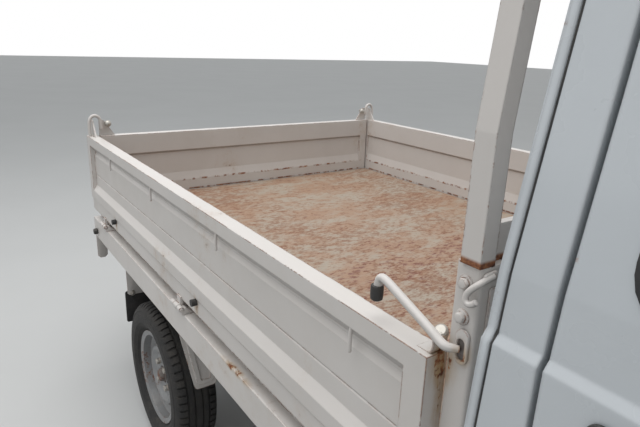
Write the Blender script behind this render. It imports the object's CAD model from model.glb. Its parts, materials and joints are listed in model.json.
"""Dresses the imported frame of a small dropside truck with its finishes, fittings, tyres, trim and cabin.

Everything is in the truck's own frame, in metres: +X forward, +Y to its left, +Z up.
"""

import json
import math

import bmesh
import bpy
from mathutils import Matrix, Vector
from mathutils.bvhtree import BVHTree


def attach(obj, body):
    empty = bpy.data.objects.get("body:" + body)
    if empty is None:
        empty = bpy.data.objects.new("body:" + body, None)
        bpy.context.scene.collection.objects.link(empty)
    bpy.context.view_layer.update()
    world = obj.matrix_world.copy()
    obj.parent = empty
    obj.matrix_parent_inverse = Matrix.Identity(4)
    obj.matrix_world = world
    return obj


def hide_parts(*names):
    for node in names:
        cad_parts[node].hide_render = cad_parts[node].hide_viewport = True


bl_info = {
    "name": "Dropside truck dressing",
    "version": (1, 0, 0),
    "blender": (4, 5, 0),
    "location": "View3D > Sidebar > Truck",
    "description": "Adds paint, rust, tyres, fittings and cabin trim to the packed truck",
    "category": "Object",
}

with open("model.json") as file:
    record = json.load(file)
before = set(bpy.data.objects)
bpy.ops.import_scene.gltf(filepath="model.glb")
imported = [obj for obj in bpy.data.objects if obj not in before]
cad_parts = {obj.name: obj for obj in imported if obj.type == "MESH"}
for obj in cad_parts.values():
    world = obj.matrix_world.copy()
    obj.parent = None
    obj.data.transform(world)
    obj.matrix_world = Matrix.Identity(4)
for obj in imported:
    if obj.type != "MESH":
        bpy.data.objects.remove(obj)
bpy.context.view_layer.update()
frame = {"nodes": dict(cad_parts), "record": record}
NODES = frame["nodes"]

# Each side's name and the sign of its Y
SIDES = (("left", 1), ("right", -1))

# Wheels: each axle's X and Z, and the wheels' middle planes
FRONT_AXLE = (0.858, 0.264)
REAR_AXLE = (-1.042, 0.264)
HALF_TRACK = 0.650
NUT_CIRCLE = 0.050
VALVE_CIRCLE = 0.134

# Bed: its post, board, gates and sills
POST_X = 0.254
POST_OUT_Y = 0.702
POST_FOOT_Z = 0.7005
BOARD_X = 0.260
BOARD_TOP_Z = 1.158
GATE_REAR_X = -1.687
HINGE_Y = 0.736
HINGE_Z = 0.698
HINGES_X = (-1.500, -0.700, 0.100)
ROPE_HOOKS_X = (-1.357, -0.909, -0.444, 0.063)
APRON_X = -0.7385
FLAP_X = -1.371
TAIL_LAMP_X = -1.673
TAIL_LAMP_Z = 0.5477

# Cab: its side, and the windscreen's lower edge with the directions off the glass and up it
CAB_HALF = 0.7375
SCREEN_FOOT_Z = 1.176
SCREEN_OUT = (0.9203, 0, 0.3912)
SCREEN_UP = (-0.3912, 0, 0.9203)
SIDE_LEAN = 0.1067

# Cabin: the dials' and vents' directions outward and up, the seats' middle planes, the door cards' inner face
DIAL_OUT = (-0.927, 0, 0.375)
DIAL_UP = (0.375, 0, 0.927)
VENT_OUT = (-0.857, 0, 0.516)
VENT_UP = (0.516, 0, 0.857)
VENTS_Y = (-0.610, -0.075, 0.075, 0.610)
SEAT_Y = 0.340
CARD_FACE_Y = 0.689

# Underside: the middle planes of the springs and of the tail pipe
SPRING_Y = 0.415
PIPE_Y = -0.470

# The camera's place, and its yaw, pitch and roll in degrees
CAMERA_SPOT = (0.6626, -1.2113, 1.4097)
CAMERA_ANGLES = (145.12, -17.19, 2.01)

# Shader node groups and finished materials, by name, filled by the first step
GROUPS = {}
FINISHES = {}


def windscreen_x(z):
    """How far forward the windscreen's plane is at a height."""
    return 1.345 + (1.750 - z) * 0.425


def rear_wall_x(z):
    """How far back the cab's rear face is at a height, in two straight stretches."""
    return 0.300 + (z - 0.9) * 0.0559 if z < 1.455 else 0.331 + (z - 1.455) * 0.0612


def side_y(z):
    """How far out the cab's side is at a height above the belt line."""
    return 0.7275 - (z - 1.18) * SIDE_LEAN


def put(tree, kind, inputs=None, **settings):
    """Adds one node, sets it up and fills its inputs with values or with other nodes' outputs."""
    node = tree.nodes.new(kind)
    for key, value in settings.items():
        setattr(node, key, value)
    for key, value in (inputs or {}).items():
        socket = node.inputs[key]
        if isinstance(value, bpy.types.NodeSocket):
            tree.links.new(value, socket)
        else:
            socket.default_value = value
    return node


def maths(tree, operation, a, b=0.0, c=0.0):
    """One Math node's result."""
    return put(tree, "ShaderNodeMath", {0: a, 1: b, 2: c}, operation=operation, use_clamp=False).outputs[0]


def times(tree, a, b):
    """Two values multiplied."""
    return maths(tree, "MULTIPLY", a, b)


def weighted(tree, *terms):
    """The sum of some values, each given with its weight."""
    total = times(tree, *terms[0])
    for term in terms[1:]:
        total = maths(tree, "ADD", total, times(tree, *term))
    return total


def ramp(tree, value, low, high, to_low=0.0, to_high=1.0):
    """A smooth step of a value between two levels."""
    inputs = {"Value": value, "From Min": low, "From Max": high, "To Min": to_low, "To Max": to_high}
    return put(tree, "ShaderNodeMapRange", inputs, interpolation_type="SMOOTHSTEP").outputs[0]


def blend(tree, share, a, b):
    """A colour between two, by a share from 0 to 1."""
    return put(tree, "ShaderNodeMix", {0: share, 6: a, 7: b}, data_type="RGBA").outputs[2]


def noise(tree, where, scale, detail=4.0, rough=0.55, distortion=0.0):
    """A noise value over the surface."""
    inputs = {"Vector": where, "Scale": scale, "Detail": detail, "Roughness": rough, "Distortion": distortion}
    return put(tree, "ShaderNodeTexNoise", inputs).outputs["Fac"]


def place(tree, where, scale=(1, 1, 1), shift=(0, 0, 0)):
    """Coordinates moved and stretched."""
    return put(tree, "ShaderNodeMapping", {"Vector": where, "Location": shift, "Scale": scale}).outputs[0]


def rgb(colour):
    """A colour as the four numbers that a socket takes."""
    return (*colour[:3], 1.0)


def start_group(name, inputs, outputs):
    """A shader node group with named sockets, and its inner input and output nodes."""
    tree = bpy.data.node_groups.new(name, "ShaderNodeTree")
    for label, kind, value in inputs:
        socket = tree.interface.new_socket(name=label, in_out="INPUT", socket_type=kind)
        if value is not None:
            socket.default_value = value
    for label, kind in outputs:
        tree.interface.new_socket(name=label, in_out="OUTPUT", socket_type=kind)
    return tree, tree.nodes.new("NodeGroupInput").outputs, tree.nodes.new("NodeGroupOutput").inputs


def make_edge_group():
    """Edge wear: a mask along the sharp edges, broken up by noise, and the rounded edges' normal."""
    tree, given, result = start_group(
        "Edge wear",
        (("Vector", "NodeSocketVector", None), ("Radius", "NodeSocketFloat", 0.004),
         ("Break up", "NodeSocketFloat", 14.0), ("Amount", "NodeSocketFloat", 0.5)),
        (("Mask", "NodeSocketFloat"), ("Normal", "NodeSocketVector")))
    rounded = put(tree, "ShaderNodeBevel", {"Radius": given["Radius"]}, samples=6).outputs[0]
    flat = tree.nodes.new("ShaderNodeNewGeometry").outputs["Normal"]
    facing = put(tree, "ShaderNodeVectorMath", {0: rounded, 1: flat},
                 operation="DOT_PRODUCT").outputs["Value"]
    edge = ramp(tree, facing, 0.995, 0.80)
    patches = noise(tree, given["Vector"], given["Break up"], 5.0, 0.65)
    fine = noise(tree, given["Vector"], times(tree, given["Break up"], 9.0), 3.0)
    level = weighted(tree, (patches, 0.7), (fine, 0.3), (given["Amount"], 0.3))
    broken = ramp(tree, level, 0.60, 0.66)
    tree.links.new(times(tree, edge, broken), result["Mask"])
    tree.links.new(rounded, result["Normal"])
    return tree


def make_rust_group():
    """Rust: how much, its colour from tan to dark red-brown, and its height over the paint."""
    tree, given, result = start_group("Rust",
                                      (("Vector", "NodeSocketVector", None),
                                       ("Scale", "NodeSocketFloat", 6.0), ("Cover", "NodeSocketFloat", 0.5)),
                                      (("Mask", "NodeSocketFloat"), ("Halo", "NodeSocketFloat"),
                                       ("Colour", "NodeSocketColor"), ("Height", "NodeSocketFloat")))
    where = given["Vector"]
    broad = noise(tree, where, given["Scale"], 3.0, 0.5)
    middle = noise(tree, where, times(tree, given["Scale"], 6.0), 5.0, 0.6)
    fine = noise(tree, where, times(tree, given["Scale"], 32.0), 4.0, 0.6)
    cover = maths(tree, "SUBTRACT", given["Cover"], 0.5)
    total = weighted(tree, (broad, 0.42), (middle, 0.40), (fine, 0.18), (cover, 0.3))
    tree.links.new(ramp(tree, total, 0.55, 0.62), result["Mask"])
    tree.links.new(ramp(tree, total, 0.46, 0.60), result["Halo"])
    colour = put(tree, "ShaderNodeValToRGB", {"Fac": weighted(tree, (fine, 0.55), (middle, 0.45))})
    stops = colour.color_ramp.elements
    stops[0].position, stops[0].color = 0.36, (0.42, 0.20, 0.085, 1)
    stops[1].position, stops[1].color = 0.66, (0.055, 0.020, 0.012, 1)
    middle_stop = stops.new(0.52)
    middle_stop.color = (0.20, 0.070, 0.030, 1)
    tree.links.new(colour.outputs["Color"], result["Colour"])
    tree.links.new(maths(tree, "ADD", middle, fine), result["Height"])
    return tree


def make_dust_group():
    """Dust and dirt: thicker on faces that look up, in patches."""
    tree, given, result = start_group("Dust",
                                      (("Vector", "NodeSocketVector", None),
                                       ("Scale", "NodeSocketFloat", 5.0), ("Amount", "NodeSocketFloat", 0.4)),
                                      (("Mask", "NodeSocketFloat"),))
    up = put(tree, "ShaderNodeSeparateXYZ",
             {0: tree.nodes.new("ShaderNodeNewGeometry").outputs["Normal"]}).outputs[2]
    lying = ramp(tree, up, -0.2, 1.0, 0.35, 1.0)
    patches = ramp(tree, noise(tree, given["Vector"], given["Scale"], 6.0, 0.7), 0.35, 0.72)
    tree.links.new(times(tree, times(tree, lying, patches), given["Amount"]), result["Mask"])
    return tree


def use_group(tree, group, inputs):
    """One node group placed in a material with its own values."""
    node = put(tree, "ShaderNodeGroup", node_tree=group)
    for key, value in inputs.items():
        if isinstance(value, bpy.types.NodeSocket):
            tree.links.new(value, node.inputs[key])
        else:
            node.inputs[key].default_value = value
    return node.outputs


def start_material(name):
    """An empty material with its output, and the object's own coordinates."""
    made = bpy.data.materials.new(name)
    made.use_nodes = True
    tree = made.node_tree
    tree.nodes.clear()
    return made, tree, put(tree, "ShaderNodeTexCoord").outputs["Object"]


def close_material(tree, inputs):
    """The shader and the output; inputs are the Principled sockets."""
    shader = put(tree, "ShaderNodeBsdfPrincipled", inputs)
    put(tree, "ShaderNodeOutputMaterial", {"Surface": shader.outputs[0]})


def bump(tree, height, distance, strength=1.0, normal=None):
    """A bump over a height, on top of another normal where one is given."""
    inputs = {"Height": height, "Distance": distance, "Strength": strength}
    if normal is not None:
        inputs["Normal"] = normal
    return put(tree, "ShaderNodeBump", inputs).outputs[0]


def level_band(tree, where, middle, half):
    """A soft band round a height above the ground."""
    height = put(tree, "ShaderNodeSeparateXYZ", {0: where}).outputs[2]
    return ramp(tree, maths(tree, "ABSOLUTE", maths(tree, "SUBTRACT", height, middle)), half, half * 0.35)


def upward_face(tree):
    """How far a face looks up in the part's own frame, from -1 to 1."""
    facing = put(tree, "ShaderNodeTexCoord").outputs["Normal"]
    return put(tree, "ShaderNodeSeparateXYZ", {"Vector": facing}).outputs["Z"]


def inward_side(tree, where):
    """A mask that is 1 on the bed's inner faces and 0 on its outer ones."""
    spot = put(tree, "ShaderNodeSeparateXYZ", {"Vector": where})
    across = ramp(tree, maths(tree, "ABSOLUTE", spot.outputs["Y"]), 0.714, 0.708)
    return times(tree, across, ramp(tree, spot.outputs["X"], -1.668, -1.662))


def stain_near(tree, where, spot, reach):
    """A soft spot round one place on either side of the truck; reach is its size along X, Y and Z."""
    parts = put(tree, "ShaderNodeSeparateXYZ", {0: where}).outputs
    mirrored = put(tree, "ShaderNodeCombineXYZ", {0: parts[0], 1: maths(tree, "ABSOLUTE", parts[1]),
                                                  2: parts[2]})
    scaled = place(tree, mirrored.outputs[0], [1 / r for r in reach], [-s / r for s, r in zip(spot, reach)])
    away = put(tree, "ShaderNodeVectorMath", {0: scaled}, operation="LENGTH").outputs["Value"]
    return ramp(tree, away, 1.0, 0.25)


def painted(name, colour, spots=0.30, wear=0.5, radius=0.0035, dirt=0.3, roughness=0.42, coat=0.0, bands=(),
            stains=(), rust_scale=5.0, dust_colour=(0.36, 0.30, 0.23), chalk=0.0):
    """Sheet metal paint that chips along the edges, with rust spots, stains, dust and orange peel."""
    made, tree, where = start_material(name)
    edge = use_group(tree, GROUPS["edge"], {"Vector": where, "Radius": radius, "Amount": wear})
    rust = use_group(tree, GROUPS["rust"], {"Vector": where, "Scale": rust_scale, "Cover": spots})
    dust = use_group(tree, GROUPS["dust"], {"Vector": where, "Amount": dirt})
    tone = noise(tree, where, 1.6, 5.0, 0.6)
    base = blend(tree, ramp(tree, tone, 0.35, 0.65), rgb([c * 0.94 for c in colour]), rgb(colour))
    base = blend(tree, dust["Mask"], base, rgb(dust_colour))
    if chalk:
        upward = upward_face(tree)
        bleached = times(tree, ramp(tree, upward, 0.15, 0.60), chalk)
        base = blend(tree, bleached, base, rgb([min(0.78, c * 1.22) for c in colour]))
        grimed = times(tree, ramp(tree, upward, -0.10, -0.55), chalk)
        base = blend(tree, grimed, base, rgb([c * 0.42 for c in colour]))
    halo = times(tree, rust["Halo"], ramp(tree, noise(tree, where, 2.3, 2.0), 0.52, 0.66))
    mask = maths(tree, "MAXIMUM", edge["Mask"], times(tree, rust["Mask"], halo))
    for middle, half, share in bands:
        broken = ramp(tree, noise(tree, where, 26.0, 5.0, 0.7), 0.62 - 0.3 * share, 0.74 - 0.3 * share)
        here = times(tree, level_band(tree, where, middle, half), inward_side(tree, where))
        mask = maths(tree, "MAXIMUM", mask, times(tree, here, broken))
    stained = blend(tree, times(tree, halo, 0.35), base, rgb([0.42, 0.27, 0.15]))
    for spot, reach in stains:
        streaks = noise(tree, place(tree, where, (1, 1, 0.3)), 55.0, 4.0, 0.6)
        near = times(tree, stain_near(tree, where, spot, reach), ramp(tree, streaks, 0.30, 0.60, 0.15, 1.0))
        stained = blend(tree, times(tree, near, 0.75), stained, rgb([0.40, 0.25, 0.10]))
        core = ramp(tree, times(tree, near, noise(tree, where, 120.0, 3.0)), 0.36, 0.50)
        mask = maths(tree, "MAXIMUM", mask, core)
    final = blend(tree, mask, stained, rust["Colour"])
    shine = ramp(tree, noise(tree, where, 9.0, 4.0), 0.3, 0.7, roughness - 0.06, roughness + 0.08)
    rough = maths(tree, "ADD", times(tree, mask, 0.45), shine)
    peel = times(tree, noise(tree, where, 220.0, 2.0), 0.25)
    height = maths(tree, "ADD", times(tree, times(tree, mask, rust["Height"]), 1.2), peel)
    inputs = {"Base Color": final, "Roughness": rough,
              "Normal": bump(tree, height, 0.0006, 0.5, edge["Normal"])}
    if coat:
        inputs["Coat Weight"] = coat
        inputs["Coat Roughness"] = 0.12
    close_material(tree, inputs)
    return made


def rusty_floor(name, colour, plain):
    """The bed floor: worn cream paint under tan and red-brown specks, drawn out across the bed."""
    made, tree, where = start_material(name)
    edge = use_group(tree, GROUPS["edge"], {"Vector": where, "Radius": 0.002, "Amount": 0.8})
    drawn = place(tree, where, (1.0, 0.45, 1.0))
    broad = noise(tree, where, 2.2, 3.0, 0.5)
    cloud = noise(tree, drawn, 10.0, 6.0, 0.66)
    grain = noise(tree, drawn, 46.0, 6.0, 0.72)
    fine = noise(tree, drawn, 130.0, 5.0, 0.7)
    flake = put(tree, "ShaderNodeTexVoronoi",
                {"Vector": place(tree, drawn, (1, 1, 1), (0.2, 0.1, 0)), "Scale": 58.0, "Randomness": 1.0},
                feature="F1").outputs["Distance"]
    base = blend(tree, ramp(tree, grain, 0.35, 0.65), rgb([c * 0.86 for c in colour]), rgb(colour))
    tan = ramp(tree, weighted(tree, (cloud, 0.6), (grain, 0.4)), 0.40, 0.58)
    stain = blend(tree, times(tree, tan, 0.85), base, (0.36, 0.21, 0.128, 1))
    mixed = weighted(tree, (grain, 0.55), (fine, 0.45), (maths(tree, "SUBTRACT", broad, 0.5), 0.35))
    spots = ramp(tree, mixed, 0.46, 0.60)
    stain = blend(tree, times(tree, spots, 0.66), stain, (0.215, 0.098, 0.055, 1))
    front = stain_near(tree, where, (-0.15, 0.15, 0.76), (0.75, 0.75, 0.4))
    deep = weighted(tree, (cloud, 0.45), (fine, 0.55), (front, 0.06))
    deep = times(tree, ramp(tree, deep, 0.55, 0.63), ramp(tree, flake, 0.75, 0.25))
    final = blend(tree, times(tree, deep, 0.85), stain, (0.17, 0.055, 0.040, 1))
    rust = use_group(tree, GROUPS["rust"], {"Vector": drawn, "Scale": 6.0, "Cover": 0.4})
    final = blend(tree, edge["Mask"], final, rust["Colour"])
    level = ramp(tree, upward_face(tree), 0.45, 0.60)
    upright = blend(tree, times(tree, tan, 0.12), rgb(plain), final)
    final = blend(tree, level, upright, final)
    height = maths(tree, "ADD", times(tree, spots, 0.4), noise(tree, where, 140.0, 4.0, 0.7))
    close_material(tree, {
        "Base Color": final, "Roughness": ramp(tree, spots, 0.0, 1.0, 0.55, 0.85),
        "Normal": bump(tree, height, 0.0010, 0.5, edge["Normal"])})
    return made


def moulded(name, colour, roughness=0.6, grain=420.0, dirt=0.15, radius=0.002):
    """Moulded plastic or rubber with a fine grain and dust."""
    made, tree, where = start_material(name)
    edge = use_group(tree, GROUPS["edge"], {"Vector": where, "Radius": radius, "Amount": 0.2})
    dust = use_group(tree, GROUPS["dust"], {"Vector": where, "Scale": 14.0, "Amount": dirt})
    leather = put(tree, "ShaderNodeTexVoronoi", {"Vector": where, "Scale": grain},
                  feature="F1").outputs["Distance"]
    tone = ramp(tree, noise(tree, where, 12.0, 4.0), 0.3, 0.7)
    base = blend(tree, tone, rgb([c * 0.82 for c in colour]), rgb(colour))
    worn = blend(tree, times(tree, edge["Mask"], 0.5), base, rgb([min(1.0, c * 2.4 + 0.05) for c in colour]))
    final = blend(tree, dust["Mask"], worn, (0.33, 0.29, 0.24, 1))
    rough = ramp(tree, noise(tree, where, 30.0, 3.0), 0.3, 0.7, roughness - 0.08, roughness + 0.10)
    close_material(tree, {"Base Color": final, "Roughness": rough,
                          "Normal": bump(tree, leather, 0.0005, 0.35, edge["Normal"])})
    return made


def bare_metal(name, colour, metallic=1.0, rust_cover=0.35, roughness=0.38, rust_scale=9.0):
    """Bare or silver-painted steel with rust creeping over it."""
    made, tree, where = start_material(name)
    edge = use_group(tree, GROUPS["edge"], {"Vector": where, "Radius": 0.0015, "Amount": 0.7,
                                            "Break up": 30.0})
    rust = use_group(tree, GROUPS["rust"], {"Vector": where, "Scale": rust_scale, "Cover": rust_cover})
    dust = use_group(tree, GROUPS["dust"], {"Vector": where, "Scale": 12.0, "Amount": 0.35})
    base = blend(tree, noise(tree, where, 18.0, 4.0), rgb([c * 0.8 for c in colour]), rgb(colour))
    base = blend(tree, dust["Mask"], base, (0.20, 0.16, 0.12, 1))
    mask = maths(tree, "MAXIMUM", times(tree, edge["Mask"], 0.8), rust["Mask"])
    final = blend(tree, mask, base, rust["Colour"])
    rough = maths(tree, "ADD", times(tree, mask, 0.4), ramp(tree, noise(tree, where, 40.0, 3.0), 0.3, 0.7,
                                                            roughness, roughness + 0.12))
    metal = times(tree, maths(tree, "SUBTRACT", 1.0, mask), metallic)
    close_material(tree, {"Base Color": final, "Roughness": rough, "Metallic": metal,
                          "Normal": bump(tree, times(tree, mask, rust["Height"]), 0.0005, 0.6,
                                         edge["Normal"])})
    return made


def clear_glass(name, colour, roughness=0.02, dirt=0.12):
    """Flat glass with dust towards its lower edge."""
    made, tree, where = start_material(name)
    dust = use_group(tree, GROUPS["dust"], {"Vector": where, "Scale": 6.0, "Amount": dirt})
    base = blend(tree, dust["Mask"], rgb(colour), (0.75, 0.72, 0.66, 1))
    rough = ramp(tree, dust["Mask"], 0.0, 1.0, roughness, 0.5)
    close_material(tree, {"Base Color": base, "Roughness": rough, "Transmission Weight": 0.94, "IOR": 1.45})
    return made


def ribbed_lens(name, colour, transmission=0.55):
    """A lamp lens with vertical ribs."""
    made, tree, where = start_material(name)
    ribs = put(tree, "ShaderNodeTexWave", {"Vector": where, "Scale": 42.0, "Distortion": 0.0},
               bands_direction="Y").outputs["Fac"]
    dust = use_group(tree, GROUPS["dust"], {"Vector": where, "Scale": 16.0, "Amount": 0.2})
    base = blend(tree, dust["Mask"], rgb(colour), (0.45, 0.40, 0.34, 1))
    close_material(tree, {"Base Color": base, "Roughness": ramp(tree, dust["Mask"], 0.0, 0.4, 0.08, 0.4),
                          "Transmission Weight": transmission, "IOR": 1.49,
                          "Normal": bump(tree, ribs, 0.0012, 0.8)})
    return made


def tyre_rubber(name):
    """Tyre rubber: dark, dusty in the grooves and greyer on the tread."""
    made, tree, where = start_material(name)
    dust = use_group(tree, GROUPS["dust"], {"Vector": where, "Scale": 22.0, "Amount": 0.55})
    base = blend(tree, noise(tree, where, 35.0, 5.0), (0.010, 0.010, 0.011, 1), (0.024, 0.023, 0.022, 1))
    final = blend(tree, dust["Mask"], base, (0.075, 0.066, 0.055, 1))
    fine = noise(tree, where, 380.0, 3.0)
    close_material(tree, {"Base Color": final, "Roughness": ramp(tree, fine, 0.3, 0.7, 0.72, 0.92),
                          "Normal": bump(tree, fine, 0.0004, 0.5)})
    return made


def stitched_vinyl(name, colour):
    """Seat vinyl: leather grain, soft creases and a little shine on the worn parts."""
    made, tree, where = start_material(name)
    grain = put(tree, "ShaderNodeTexVoronoi", {"Vector": where, "Scale": 330.0},
                feature="DISTANCE_TO_EDGE").outputs[0]
    crease = noise(tree, place(tree, where, (1.0, 3.0, 1.0)), 14.0, 5.0, 0.6, 1.0)
    tone = ramp(tree, noise(tree, where, 7.0, 4.0), 0.3, 0.7)
    base = blend(tree, tone, rgb([c * 0.75 for c in colour]), rgb(colour))
    height = maths(tree, "ADD", ramp(tree, grain, 0.0, 0.12), times(tree, crease, 1.6))
    close_material(tree, {"Base Color": base, "Roughness": ramp(tree, crease, 0.35, 0.65, 0.42, 0.62),
                          "Normal": bump(tree, height, 0.0008, 0.45)})
    return made


def link(name, mesh):
    """A new object in the scene's collection."""
    made = bpy.data.objects.new(name, mesh)
    bpy.context.scene.collection.objects.link(made)
    return made


def solid(name, points, faces, angle=35.0):
    """An object from points and faces, smooth apart from edges sharper than the angle."""
    mesh = bpy.data.meshes.new(name)
    mesh.from_pydata([tuple(p) for p in points], [], faces)
    work = bmesh.new()
    work.from_mesh(mesh)
    bmesh.ops.remove_doubles(work, verts=work.verts, dist=1e-6)
    bmesh.ops.recalc_face_normals(work, faces=work.faces)
    work.to_mesh(mesh)
    work.free()
    mesh.shade_smooth()
    mesh.set_sharp_from_angle(angle=math.radians(angle))
    return link(name, mesh)


def baked(made, angle=35.0):
    """The same object with its modifiers applied, as a plain mesh."""
    graph = bpy.context.evaluated_depsgraph_get()
    mesh = bpy.data.meshes.new_from_object(made.evaluated_get(graph))
    name = made.name
    bpy.data.objects.remove(made)
    mesh.name = name
    mesh.shade_smooth()
    mesh.set_sharp_from_angle(angle=math.radians(angle))
    return link(name, mesh)


def eased(made, width, segments=2, limit=40.0):
    """The same object with its edges sharper than a limit rounded off."""
    mod = made.modifiers.new("Eased edges", "BEVEL")
    mod.width, mod.segments = width, segments
    mod.limit_method, mod.angle_limit = "ANGLE", math.radians(limit)
    return baked(made, 40)


def basis(axis):
    """Two unit vectors across an axis."""
    axis = Vector(axis).normalized()
    side = axis.cross(Vector((0, 0, 1)))
    if side.length < 0.01:
        side = Vector((1, 0, 0))
    side.normalize()
    return side, axis.cross(side), axis


def turned(name, profile, centre, axis, segments=48, angle=35.0, closed=False):
    """A turned form: profile of (radius, distance along the axis), spun about the axis."""
    side, other, axis = basis(axis)
    centre = Vector(centre)
    points, faces = [], []
    for step in range(segments):
        turn = 2 * math.pi * step / segments
        out = side * math.cos(turn) + other * math.sin(turn)
        points += [centre + out * radius + axis * along for radius, along in profile]
    count = len(profile)
    for step in range(segments):
        nxt = (step + 1) % segments
        for i in range(count if closed else count - 1):
            j = (i + 1) % count
            faces.append((step * count + i, step * count + j, nxt * count + j, nxt * count + i))
    return solid(name, points, faces, angle=angle)


def slab(name, outline, origin, u_axis, v_axis, depth, bevel=0.0, segments=2):
    """A plate: an outline in two directions, given a depth along their cross product, with eased edges."""
    u, v = Vector(u_axis).normalized(), Vector(v_axis).normalized()
    w = u.cross(v)
    origin = Vector(origin)
    ring = [origin + u * a + v * b for a, b in outline]
    count = len(ring)
    points = ring + [p + w * depth for p in ring]
    faces = [tuple(range(count))[::-1], tuple(range(count, 2 * count))]
    faces += [(i, (i + 1) % count, count + (i + 1) % count, count + i) for i in range(count)]
    made = solid(name, points, faces)
    return eased(made, bevel, segments) if bevel else made


def holed_plate(name, ring, hole, origin, u_axis, v_axis, depth):
    """A plate between an outline and a hole with as many points, given a depth."""
    u, v = Vector(u_axis).normalized(), Vector(v_axis).normalized()
    w = u.cross(v)
    origin = Vector(origin)
    count = len(ring)
    points = [origin + u * a + v * b + w * d for d in (0.0, depth) for line in (ring, hole) for a, b in line]
    faces = []
    for i in range(count):
        j = (i + 1) % count
        faces += [(i, j, count + j, count + i), (2 * count + i, 3 * count + i, 3 * count + j, 2 * count + j),
                  (i, 2 * count + i, 2 * count + j, j), (count + i, count + j, 3 * count + j, 3 * count + i)]
    return eased(solid(name, points, faces), 0.0008, limit=60.0)


def faces_of(*names):
    """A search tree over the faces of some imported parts."""
    points, polygons = [], []
    for name in names:
        made = NODES[name]
        start = len(points)
        points += [made.matrix_world @ v.co for v in made.data.vertices]
        polygons += [[start + i for i in p.vertices] for p in made.data.polygons]
    return BVHTree.FromPolygons(points, polygons)


def laid(tree, points, toward):
    """Points moved along a direction onto the faces, each with the face's normal."""
    toward = Vector(toward).normalized()
    found = []
    for p in points:
        hit, normal, _, _ = tree.ray_cast(Vector(p) - toward, toward)
        if hit is None:
            raise RuntimeError(f"nothing to lay a trim point on at {tuple(p)}")
        found.append((hit, normal if normal.dot(toward) < 0 else -normal))
    return found


def moulding(name, path, lifts, section, cyclic=False, angle=35.0):
    """A strip of one section along a path; section points are (to the path's left, up from the surface)."""
    path = [Vector(p) for p in path]
    count, size = len(path), len(section)
    points, faces = [], []
    for i, p in enumerate(path):
        before = path[(i - 1) % count] if cyclic or i else p
        after = path[(i + 1) % count] if cyclic or i < count - 1 else p
        lift = Vector(lifts[i] if isinstance(lifts, list) else lifts).normalized()
        across = lift.cross((after - before).normalized()).normalized()
        points += [p + across * a + lift * b for a, b in section]
    for i in range(count if cyclic else count - 1):
        j = (i + 1) % count
        faces += [(i * size + k, i * size + (k + 1) % size, j * size + (k + 1) % size, j * size + k)
                  for k in range(size)]
    if not cyclic:
        faces += [tuple(range(size))[::-1], tuple((count - 1) * size + k for k in range(size))]
    return solid(name, points, faces, angle=angle)


def eased_outline(corners, radius, steps=6):
    """A closed outline with its corners rounded, evenly enough spaced to lay trim along it."""
    outline = []
    count = len(corners)
    for i in range(count):
        here = Vector(corners[i])
        back, on = Vector(corners[i - 1]) - here, Vector(corners[(i + 1) % count]) - here
        half = back.angle(on) / 2
        reach = radius / math.tan(half)
        start, end = here + back.normalized() * reach, here + on.normalized() * reach
        centre = here + (back.normalized() + on.normalized()).normalized() * radius / math.sin(half)
        for k in range(steps + 1):
            spot = start.lerp(end, k / steps) - centre
            outline.append(tuple(centre + spot.normalized() * radius))
    spread = []
    for i, here in enumerate(outline):
        on = outline[(i + 1) % len(outline)]
        parts = max(1, int((Vector(on) - Vector(here)).length / 0.05))
        spread += [tuple(Vector(here).lerp(Vector(on), k / parts)) for k in range(parts)]
    return spread


def rounded(width, height, radius, steps=5, centre=(0, 0)):
    """The outline of a rectangle with round corners."""
    outline = []
    for sx, sy, start in ((1, 1, 0), (-1, 1, 90), (-1, -1, 180), (1, -1, 270)):
        for i in range(steps + 1):
            turn = math.radians(start + 90 * i / steps)
            outline.append((centre[0] + sx * (width / 2 - radius) + radius * math.cos(turn),
                            centre[1] + sy * (height / 2 - radius) + radius * math.sin(turn)))
    return outline


def rod(name, points, radius, order=3, sides=4, cyclic=False, taper=None):
    """A round bar bent along points."""
    curve = bpy.data.curves.new(name, "CURVE")
    curve.dimensions = "3D"
    curve.bevel_depth = radius
    curve.bevel_resolution = sides
    curve.use_fill_caps = True
    curve.resolution_u = 10
    spline = curve.splines.new("NURBS")
    spline.points.add(len(points) - 1)
    for i, p in enumerate(points):
        spline.points[i].co = (*p, 1.0)
        if taper:
            spline.points[i].radius = taper[i]
    spline.use_cyclic_u = cyclic
    spline.use_endpoint_u = not cyclic
    spline.order_u = order
    return baked(link(name, curve), 50)


def strip(name, path, across, width, thick, bevel=0.0):
    """A flat strip along a path: across gives its width direction and the path's normal its thickness."""
    points, faces = [], []
    across = Vector(across).normalized()
    path = [Vector(p) for p in path]
    for i, p in enumerate(path):
        before, after = path[max(i - 1, 0)], path[min(i + 1, len(path) - 1)]
        lift = across.cross((after - before).normalized()).normalized()
        for a, b in ((-0.5, 0), (0.5, 0), (0.5, 1), (-0.5, 1)):
            points.append(p + across * width * a + lift * thick * b)
    for i in range(len(path) - 1):
        for k in range(4):
            n = (k + 1) % 4
            faces.append((4 * i + k, 4 * i + n, 4 * i + 4 + n, 4 * i + 4 + k))
    last = 4 * (len(path) - 1)
    faces += [(3, 2, 1, 0), (last, last + 1, last + 2, last + 3)]
    made = solid(name, points, faces)
    return eased(made, bevel, limit=30.0) if bevel else made


def joined(name, parts, angle=35.0):
    """Several meshes made into one piece."""
    work = bmesh.new()
    for part in parts:
        mesh = part.data.copy()
        mesh.transform(part.matrix_world)
        work.from_mesh(mesh)
        bpy.data.meshes.remove(mesh)
    mesh = bpy.data.meshes.new(name)
    work.to_mesh(mesh)
    work.free()
    for part in parts:
        bpy.data.objects.remove(part)
    mesh.shade_smooth()
    mesh.set_sharp_from_angle(angle=math.radians(angle))
    return link(name, mesh)


def settle(made, body, finish):
    """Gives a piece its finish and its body."""
    made.data.materials.clear()
    made.data.materials.append(FINISHES[finish])
    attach(made, body)
    return made


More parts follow.
